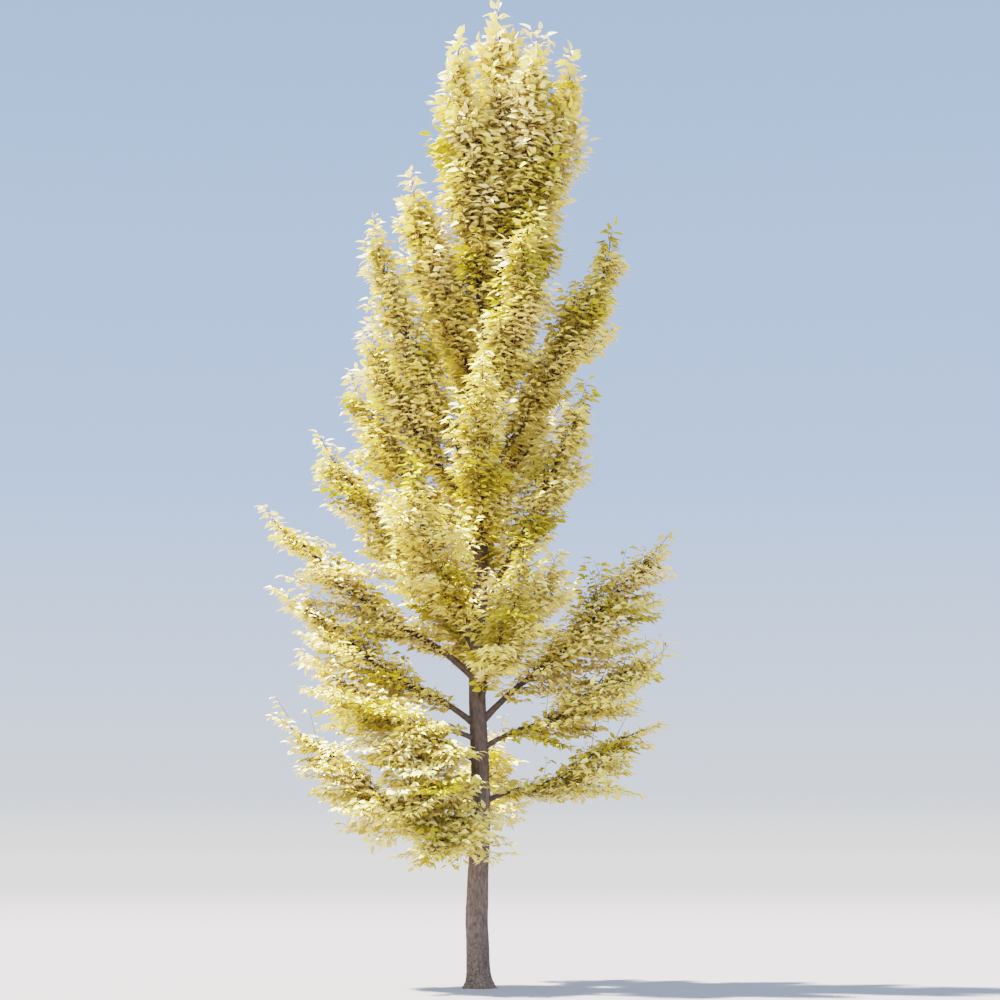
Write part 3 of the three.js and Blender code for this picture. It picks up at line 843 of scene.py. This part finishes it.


def bark_material(name, ridge, furrow, foot_and_shade_share, grain):
    """Furrowed bark with weathered patches, darkened above by painted shade of the crown and speckled at the
    foot, both by the share given.
    """
    colours = bpy.context.scene.ginkgo_bark
    material, sketch = new_material(name)
    place = sketch.add("ShaderNodeTexCoord", output="Object")
    drawn_out = sketch.add("ShaderNodeMapping", None, {"Vector": place, "Scale": DRAWN_OUT})
    ridges = sketch.grain(drawn_out, grain, detail=6, roughness=0.62)
    flakes = sketch.grain(place, FLAKE_GRAIN * grain, detail=4, roughness=0.6)
    patches = sketch.grain(drawn_out, PATCH_GRAIN * grain, detail=3, roughness=0.5)
    speckles = sketch.grain(place, SPECKLE_GRAIN * grain, detail=4, roughness=0.75)
    speckles = sketch.contrast(speckles, dark=0.40, light=0.62)
    height = sketch.contrast(0.7 * ridges + 0.3 * flakes, dark=0.34, light=0.62)
    weathering = sketch.between(patches, low=0.5, high=0.72, last=0.7, way="LINEAR")
    level = sketch.add("ShaderNodeSeparateXYZ", None, {"Vector": place}, output="Z")
    low_down = sketch.between(level + 0.5 * patches, *FOOT_HEIGHTS, first=0.85 * foot_and_shade_share, last=0.0)
    # painted shade: the trunk darkens under the crown as if in its shadow
    painted_crown_shade = sketch.between(level, *CROWN_SHADE_HEIGHTS, last=0.6 * foot_and_shade_share)
    wood = sketch.mix_colours(height, solid_colour(furrow), solid_colour(ridge))
    grey = sketch.mix_colours(weathering * height, wood, solid_colour(colours.weathered))
    # the bark turns towards the furrows' dark as painted shade of the crown
    darker = sketch.mix_colours(painted_crown_shade, grey, solid_colour(furrow))
    speckled = sketch.mix_colours(speckles, solid_colour(colours.foot), solid_colour(colours.speckle))
    browner = sketch.mix_colours(low_down, darker, speckled)
    relief = {"Strength": 0.75, "Distance": BUMP_DEPTH, "Height": 0.7 * height + 0.4 * flakes}
    sketch.surface(
        {
            "Base Color": browner,
            "Roughness": 0.96 - 0.16 * height,
            "Specular IOR Level": 0.25,
            "Normal": sketch.add("ShaderNodeBump", None, relief),
        }
    )
    return material


def leaf_material(name, colour):
    """A thin autumn leaf of one plain colour."""
    material, sketch = new_material(name)
    sketch.surface({"Base Color": solid_colour(colour), "Roughness": 0.58, "Specular IOR Level": 0.22})
    return material


def leaf_materials():
    form = bpy.context.scene.ginkgo_leaves
    tints = ("cream", "pale_gold", "gold", "lemon", "olive_gold")
    return [leaf_material("leaf_" + tint, getattr(form, tint)) for tint in tints]


# Pieces


def mesh_object(name, vertices, edges=(), faces=()):
    mesh = bpy.data.meshes.new(name)
    mesh.from_pydata(vertices, edges, faces)
    mesh.update()
    piece = bpy.data.objects.new(name, mesh)
    bpy.context.scene.collection.objects.link(piece)
    return piece


def give_attribute(piece, name, kind, values):
    attribute = piece.data.attributes.new(name, kind, "POINT")
    key = "vector" if kind == "FLOAT_VECTOR" else "value"
    attribute.data.foreach_set(key, np.asarray(values).ravel())


def made_by_nodes(piece, tree, values):
    """Runs a tree on a piece with its inputs set by name, and leaves the result as its plain mesh."""
    modifier = piece.modifiers.new(tree.name, "NODES")
    modifier.node_group = tree
    for item in tree.interface.items_tree:
        if item.item_type == "SOCKET" and item.in_out == "INPUT" and item.name in values:
            modifier[item.identifier] = values[item.name]
    evaluated = piece.evaluated_get(bpy.context.evaluated_depsgraph_get())
    made = bpy.data.meshes.new_from_object(evaluated)
    piece.modifiers.clear()
    bare = piece.data
    piece.data = made
    made.name = piece.name
    bpy.data.meshes.remove(bare)
    if not len(made.polygons):
        raise RuntimeError(piece.name + " came out empty")
    return piece


def new_tree(name, inputs):
    """A Geometry Nodes tree with named inputs, its sketch and the wires of those inputs."""
    tree = bpy.data.node_groups.new(name, "GeometryNodeTree")
    tree.interface.new_socket("Geometry", in_out="INPUT", socket_type="NodeSocketGeometry")
    for label, kind in inputs:
        tree.interface.new_socket(label, in_out="INPUT", socket_type=kind)
    tree.interface.new_socket("Geometry", in_out="OUTPUT", socket_type="NodeSocketGeometry")
    sketch = Sketch(tree)
    entry = tree.nodes.new("NodeGroupInput")
    wires = {socket.name: Wire(sketch, socket) for socket in entry.outputs if socket.name}
    return tree, sketch, wires


def tube_tree():
    """Turns bare lines with a thickness into tubes of wood with uneven bark."""
    inputs = (
        ("Sides", "NodeSocketInt"),
        ("Relief", "NodeSocketFloat"),
        ("Grain", "NodeSocketFloat"),
        ("Material", "NodeSocketMaterial"),
    )
    tree, sketch, given = new_tree("wood_along_lines", inputs)
    thickness = sketch.named("thickness")
    curve = sketch.add("GeometryNodeMeshToCurve", None, {"Mesh": given["Geometry"]})
    circle = {"Resolution": given["Sides"], "Radius": 1.0}
    ring = sketch.add("GeometryNodeCurvePrimitiveCircle", {"mode": "RADIUS"}, circle)
    sweep = {"Curve": curve, "Profile Curve": ring, "Scale": thickness, "Fill Caps": True}
    tube = sketch.add("GeometryNodeCurveToMesh", None, sweep)
    place = sketch.add("GeometryNodeInputPosition")
    bark = sketch.grain(place, given["Grain"], detail=3.0, roughness=0.6)
    height = (bark - 0.5) * given["Relief"] * thickness
    normal = sketch.add("GeometryNodeInputNormal")
    offset = sketch.add("ShaderNodeVectorMath", {"operation": "SCALE"}, {0: normal, "Scale": height})
    tube = sketch.add("GeometryNodeSetPosition", None, {"Geometry": tube, "Offset": offset})
    tube = sketch.add("GeometryNodeSetShadeSmooth", None, {"Geometry": tube})
    tube = sketch.add("GeometryNodeRealizeInstances", None, {"Geometry": tube})
    tube = sketch.add("GeometryNodeSetMaterial", None, {"Geometry": tube, "Material": given["Material"]})
    sketch.add("NodeGroupOutput", None, {"Geometry": tube})
    return tree


def leaf_tree(tints):
    """Sets a leaf on every point, turned by the point's own directions and tinted by its number."""
    inputs = [("Leaf", "NodeSocketObject"), ("Curled Leaf", "NodeSocketObject")]
    inputs += [(f"Tint {i + 1}", "NodeSocketMaterial") for i in range(tints)]
    tree, sketch, given = new_tree("leaves_on_points", inputs)
    shapes = sketch.add("GeometryNodeJoinGeometry")
    for label in ("Curled Leaf", "Leaf"):
        settings = {"transform_space": "ORIGINAL"}
        sockets = {"Object": given[label], "As Instance": True}
        shape = sketch.add("GeometryNodeObjectInfo", settings, sockets, output="Geometry")
        tree.links.new(shape.socket, shapes.socket.node.inputs["Geometry"])
    along, facing = [sketch.named(name, "FLOAT_VECTOR") for name in ("along", "facing")]
    rotation = sketch.add(
        "FunctionNodeAxesToRotation",
        {"primary_axis": "Y", "secondary_axis": "Z"},
        {"Primary Axis": along, "Secondary Axis": facing},
    )
    leaves = sketch.add(
        "GeometryNodeInstanceOnPoints",
        None,
        {
            "Points": given["Geometry"],
            "Instance": shapes,
            "Pick Instance": True,
            "Instance Index": sketch.named("shape", "INT"),
            "Rotation": rotation,
            "Scale": sketch.named("size"),
        },
    )
    leaves = sketch.add("GeometryNodeRealizeInstances", None, {"Geometry": leaves})
    tint = sketch.named("tint", "INT")
    for i in range(tints):
        equal = {"data_type": "INT", "operation": "EQUAL"}
        chosen = sketch.add("FunctionNodeCompare", equal, {2: tint, 3: i})
        tinted = {"Geometry": leaves, "Selection": chosen, "Material": given[f"Tint {i + 1}"]}
        leaves = sketch.add("GeometryNodeSetMaterial", None, tinted)
    sketch.add("NodeGroupOutput", None, {"Geometry": leaves})
    return tree


def leaf_blade(name, fold, curl):
    """One leaf of length 1 with its stalk, folded along its midrib, its tip curled down."""
    stalk, stalk_half = 0.22, 0.012
    profile = ((0.27, 0.255), (0.66, 0.185))  # distance along the blade and half its width there
    vertices = [(0, 0, 0), (stalk_half, stalk, 0), (-stalk_half, stalk, 0), (0, stalk, 0)]
    for along, half in profile:
        level = -curl * along * along
        y = stalk + along
        vertices += [(-half, y, level + fold * half), (0, y, level), (half, y, level + fold * half)]
    vertices.append((0, stalk + 1, -curl))
    tip = len(vertices) - 1
    faces = [(0, 1, 2), (3, 5, 4), (3, 6, 5)]
    for row in range(len(profile) - 1):
        first = 4 + 3 * row
        for side in (first, first + 1):
            faces.append((side, side + 1, side + 4, side + 3))
    last = tip - 3
    faces += [(last, last + 1, tip), (last + 1, last + 2, tip)]
    leaf = mesh_object(name, vertices, (), faces)
    leaf.data.shade_smooth()
    return leaf


def wood_piece(name, lines_and_radii, tree, form, material):
    """Tubes of wood along many lines, as one piece."""
    vertices, edges, thickness = [], [], []
    for points, radii in lines_and_radii:
        first = len(vertices)
        vertices += [tuple(point) for point in points]
        edges += [(first + i, first + i + 1) for i in range(len(points) - 1)]
        thickness += radii
    piece = mesh_object(name, vertices, edges)
    give_attribute(piece, "thickness", "FLOAT", thickness)
    values = {"Sides": form.sides, "Relief": form.relief, "Grain": form.grain, "Material": material}
    return made_by_nodes(piece, tree, values)


def dress(piece, nodes):
    """Hands a finished piece to the frame."""
    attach(piece, "root")
    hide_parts(*nodes)


class GINKGO_OT_trunk(bpy.types.Operator):
    """Make the trunk with its root flare and ridged bark"""

    bl_idname = "ginkgo.trunk"
    bl_label = "Trunk"

    # Scale of the bark's noise across and along the trunk
    RIDGES = (40, 13)
    FLAKES = (95, 46)
    SWELLINGS = (7, 4.2)
    RIDGE_FRACTAL = (0.9, 2.1, 3)  # how fast it fades, step between its scales and their number
    CREST = 0.4  # height of a ridge, over the relief
    RIDGE_DEPTH, FLAKE_DEPTH, SWELLING_DEPTH = 1.2, 0.35, 1.3  # over the relief
    RING_POWER = 1.25  # by which rings lie closer near the ground
    FOOT_RELIEF = 0.8  # added to the relief at the ground
    TIP_CAP = 0.004  # height of the closed tip

    def bark_height(self, place, z):
        """Height of the bark: long ridges, broken up by smaller flakes, on broad swellings."""

        def scaled(across, along):
            return Vector((place.x * across, place.y * across, z * along))

        ridges = noise.fractal(scaled(*self.RIDGES), *self.RIDGE_FRACTAL)
        flakes = noise.noise(scaled(*self.FLAKES))
        swellings = noise.noise(scaled(*self.SWELLINGS))
        ridged = self.CREST - self.RIDGE_DEPTH * abs(ridges)
        return ridged + self.FLAKE_DEPTH * flakes + self.SWELLING_DEPTH * swellings

    def bark_points(self, form):
        """The points of the bark, ring by ring from the ground, and the point that closes the tip."""
        points = []
        for ring in range(form.rings + 1):
            z = form.top * (ring / form.rings) ** self.RING_POWER
            centre = trunk_centre(z)
            radius = trunk_radius(z)
            fade = math.exp(-z / form.flare_height)
            depth = form.relief * min(1.0, radius / form.radius) * (1 + self.FOOT_RELIEF * fade)
            for side in range(form.sides):
                angle = 2 * math.pi * side / form.sides
                outward = Vector((math.cos(angle), -math.sin(angle), 0))
                lobes = 1 + form.lobe_share * fade * math.cos(form.lobes * angle)
                smooth = centre + outward * (radius * lobes)
                points.append(tuple(smooth + outward * depth * self.bark_height(smooth, z)))
        points.append(tuple(trunk_centre(form.top) + UP * self.TIP_CAP))
        return points

    def execute(self, context):
        form = context.scene.ginkgo_trunk
        points = self.bark_points(form)
        faces = []
        for ring in range(form.rings):
            for side in range(form.sides):
                here = ring * form.sides + side
                beside = ring * form.sides + (side + 1) % form.sides
                faces.append((beside, here, here + form.sides, beside + form.sides))
        last = form.rings * form.sides
        tip = len(points) - 1
        faces += [(last + (side + 1) % form.sides, last + side, tip) for side in range(form.sides)]
        faces.append(tuple(range(form.sides)))
        piece = mesh_object("trunk_bark", points, (), faces)
        piece.data.shade_smooth()
        colours = context.scene.ginkgo_bark
        bark = bark_material("trunk_bark", colours.ridge, colours.furrow, 1.0, colours.trunk_grain)
        piece.data.materials.append(bark)
        dress(piece, ["trunk"])
        return {"FINISHED"}


class GINKGO_OT_boughs(bpy.types.Operator):
    """Make the bark of every limb, from the trunk to its tip"""

    bl_idname = "ginkgo.boughs"
    bl_label = "Boughs"

    def execute(self, context):
        form = context.scene.ginkgo_limbs
        lines = []
        for limb in grown_limbs():
            steps = round(limb.line.length / form.step)
            shares = [i / steps for i in range(steps + 1)]
            points = [limb.line.at(share * limb.line.length)[0] for share in shares]
            lines.append((points, [limb.radius(share) for share in shares]))
        colours = context.scene.ginkgo_bark
        ridge = [BOUGH_SHADE * value for value in colours.ridge]
        bark = bark_material("bough_bark", ridge, colours.furrow, 0.0, colours.bough_grain)
        piece = wood_piece("boughs_bark", lines, tube_tree(), form, bark)
        nodes = [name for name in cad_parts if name.startswith("bough_")]
        dress(piece, nodes)
        return {"FINISHED"}


class GINKGO_OT_twigs(bpy.types.Operator):
    """Make the twigs of each tier of foliage"""

    bl_idname = "ginkgo.twigs"
    bl_label = "Twigs"

    def execute(self, context):
        tree = tube_tree()
        form = context.scene.ginkgo_twigs
        colours = context.scene.ginkgo_bark
        wood = bark_material("twig_wood", colours.twig, colours.furrow, 0.0, colours.twig_grain)
        for tier, _ in TIERS:
            crowns = grown_crowns(tier)
            lines = []
            for twig in (twig for crown in crowns for twig in crown.twigs):
                count = len(twig.line.points)
                radii = [mix(twig.radius, twig.tip_radius, i / (count - 1)) for i in range(count)]
                lines.append((twig.line.points, radii))
            piece = wood_piece("twigs_" + tier, lines, tree, form, wood)
            dress(piece, ["foliage_" + crown.limb.name for crown in crowns])
        return {"FINISHED"}


class GINKGO_OT_leaves(bpy.types.Operator):
    """Make the leaves of each tier of foliage"""

    bl_idname = "ginkgo.leaves"
    bl_label = "Leaves"

    def execute(self, context):
        materials = leaf_materials()
        tree = leaf_tree(len(materials))
        plain = leaf_blade("leaf_shape", fold=0.34, curl=0.10)
        curled = leaf_blade("curled_leaf_shape", fold=0.55, curl=0.24)
        shapes = (plain, curled)
        values = {f"Tint {i + 1}": material for i, material in enumerate(materials)}
        values["Leaf"], values["Curled Leaf"] = shapes
        dice = np.random.default_rng(context.scene.ginkgo_twigs.seed)
        for tier, _ in TIERS:
            crowns = grown_crowns(tier)
            leaves = [leaf for crown in crowns for leaf in crown.leaves]
            piece = mesh_object("leaves_" + tier, [tuple(leaf.root) for leaf in leaves])
            give_attribute(piece, "along", "FLOAT_VECTOR", [leaf.along for leaf in leaves])
            give_attribute(piece, "facing", "FLOAT_VECTOR", [leaf.facing for leaf in leaves])
            give_attribute(piece, "size", "FLOAT", [leaf.length for leaf in leaves])
            give_attribute(piece, "tint", "INT", [leaf.tint for leaf in leaves])
            give_attribute(piece, "shape", "INT", dice.integers(0, len(shapes), len(leaves)))
            made_by_nodes(piece, tree, values)
            dress(piece, ["foliage_" + crown.limb.name for crown in crowns])
        for shape in shapes:
            bpy.data.objects.remove(shape)
        return {"FINISHED"}


class GINKGO_OT_stage(bpy.types.Operator):
    """Set the pale floor, the plain light and the camera"""

    bl_idname = "ginkgo.stage"
    bl_label = "Stage"

    FILL_WAY = Vector((0.1, 0.6, -1))  # the way that the soft light shines
    SKY_HEIGHTS = (0.0, 0.022, 0.15, 0.7)  # how steeply the view rises where each colour stands
    SENSOR = 36.0  # its width in millimetres
    FAR_CLIP = 5000.0

    def add_floor(self, form):
        reach = form.reach
        corners = [(-reach, -reach, 0), (reach, -reach, 0), (reach, reach, 0), (-reach, reach, 0)]
        floor = mesh_object("floor", corners, (), [(0, 1, 2, 3)])
        material, sketch = new_material("pale_floor")
        place = sketch.add("ShaderNodeTexCoord", output="Object")
        distance = sketch.add("ShaderNodeVectorMath", {"operation": "LENGTH"}, {0: place}, output="Value")
        far = sketch.between(distance, form.fade_from, form.fade)
        colour = sketch.mix_colours(far, solid_colour(form.floor), solid_colour(form.far_floor))
        sketch.surface(
            {
                "Base Color": colour,
                "Roughness": 0.9,
                "Specular IOR Level": 0.0,
                # the floor's glow is painted light, which lightens the tree's shadow on the floor
                "Emission Color": solid_colour(form.glow),
                "Emission Strength": 1.0,
            }
        )
        floor.data.materials.append(material)

    def add_world(self, form):
        """A plain backdrop that turns from the floor's grey to blue with the height of the view."""
        world = bpy.data.worlds.new("studio")
        world.use_nodes = True
        world.node_tree.nodes.clear()
        sketch = Sketch(world.node_tree)
        way = sketch.add("ShaderNodeTexCoord", output="Generated")
        height = sketch.add("ShaderNodeSeparateXYZ", None, {"Vector": way}, output="Z")
        colours = (form.horizon, form.haze, form.sky, form.zenith)
        stops = [(step, solid_colour(colour)) for step, colour in zip(self.SKY_HEIGHTS, colours)]
        colour = sketch.add("ShaderNodeValToRGB", {"stops": stops}, {"Fac": height}, output="Color")
        light = sketch.add("ShaderNodeBackground", None, {"Color": colour, "Strength": 1.0})
        sketch.add("ShaderNodeOutputWorld", None, {"Surface": light})
        bpy.context.scene.world = world

    def add_light(self, name, strength, size, colour, way):
        light = bpy.data.lights.new(name, "SUN")
        light.energy = strength
        light.angle = size
        light.color = colour
        lamp = bpy.data.objects.new(name, light)
        lamp.rotation_euler = way.to_track_quat("-Z", "Y").to_euler()
        bpy.context.scene.collection.objects.link(lamp)

    def add_lights(self, form):
        """The sun from the upper left, and a wide soft light from above the viewer."""
        level = math.cos(form.sun_elevation)
        across, away = math.cos(form.sun_azimuth), math.sin(form.sun_azimuth)
        way = Vector((level * across, level * away, -math.sin(form.sun_elevation)))
        self.add_light("sun", form.sun_strength, form.sun_angle, form.sun_colour, way)
        self.add_light("fill", form.fill_strength, form.fill_angle, form.fill_colour, self.FILL_WAY)

    def add_camera(self, form):
        data = bpy.data.cameras.new("camera")
        data.sensor_width = self.SENSOR
        data.lens = form.lens
        data.clip_end = self.FAR_CLIP
        camera = bpy.data.objects.new("camera", data)
        camera.location = form.eye
        camera.rotation_euler = (math.radians(90) + form.tilt, 0, 0)
        bpy.context.scene.collection.objects.link(camera)
        bpy.context.scene.camera = camera

    def execute(self, context):
        form = context.scene.ginkgo_stage
        self.add_floor(form)
        self.add_world(form)
        self.add_lights(form)
        self.add_camera(form)
        view = context.scene.view_settings
        view.view_transform = "Filmic"
        view.look = "High Contrast"
        view.exposure = form.exposure
        return {"FINISHED"}


class GINKGO_PT_panel(bpy.types.Panel):
    """The pieces of the tree in the order in which they are made"""

    bl_idname = "GINKGO_PT_panel"
    bl_label = "Ginkgo"
    bl_space_type = "VIEW_3D"
    bl_region_type = "UI"
    bl_category = "Ginkgo"

    def draw(self, context):
        for piece in OPERATORS:
            self.layout.operator(piece.bl_idname)


FORMS = {
    "ginkgo_trunk": TrunkForm,
    "ginkgo_limbs": LimbForm,
    "ginkgo_twigs": TwigForm,
    "ginkgo_leaves": LeafForm,
    "ginkgo_bark": BarkFinish,
    "ginkgo_stage": StageForm,
}
OPERATORS = (GINKGO_OT_trunk, GINKGO_OT_boughs, GINKGO_OT_twigs, GINKGO_OT_leaves, GINKGO_OT_stage)


def register():
    for form in FORMS.values():
        bpy.utils.register_class(form)
    for name, form in FORMS.items():
        setattr(bpy.types.Scene, name, PointerProperty(type=form))
    for each in (*OPERATORS, GINKGO_PT_panel):
        bpy.utils.register_class(each)


def unregister():
    for each in (GINKGO_PT_panel, *reversed(OPERATORS)):
        bpy.utils.unregister_class(each)
    for name in FORMS:
        delattr(bpy.types.Scene, name)
    for form in FORMS.values():
        bpy.utils.unregister_class(form)


def main():
    register()
    bpy.ops.ginkgo.trunk()
    bpy.ops.ginkgo.boughs()
    bpy.ops.ginkgo.twigs()
    bpy.ops.ginkgo.leaves()
    bpy.ops.ginkgo.stage()


if __name__ == "__main__":
    main()
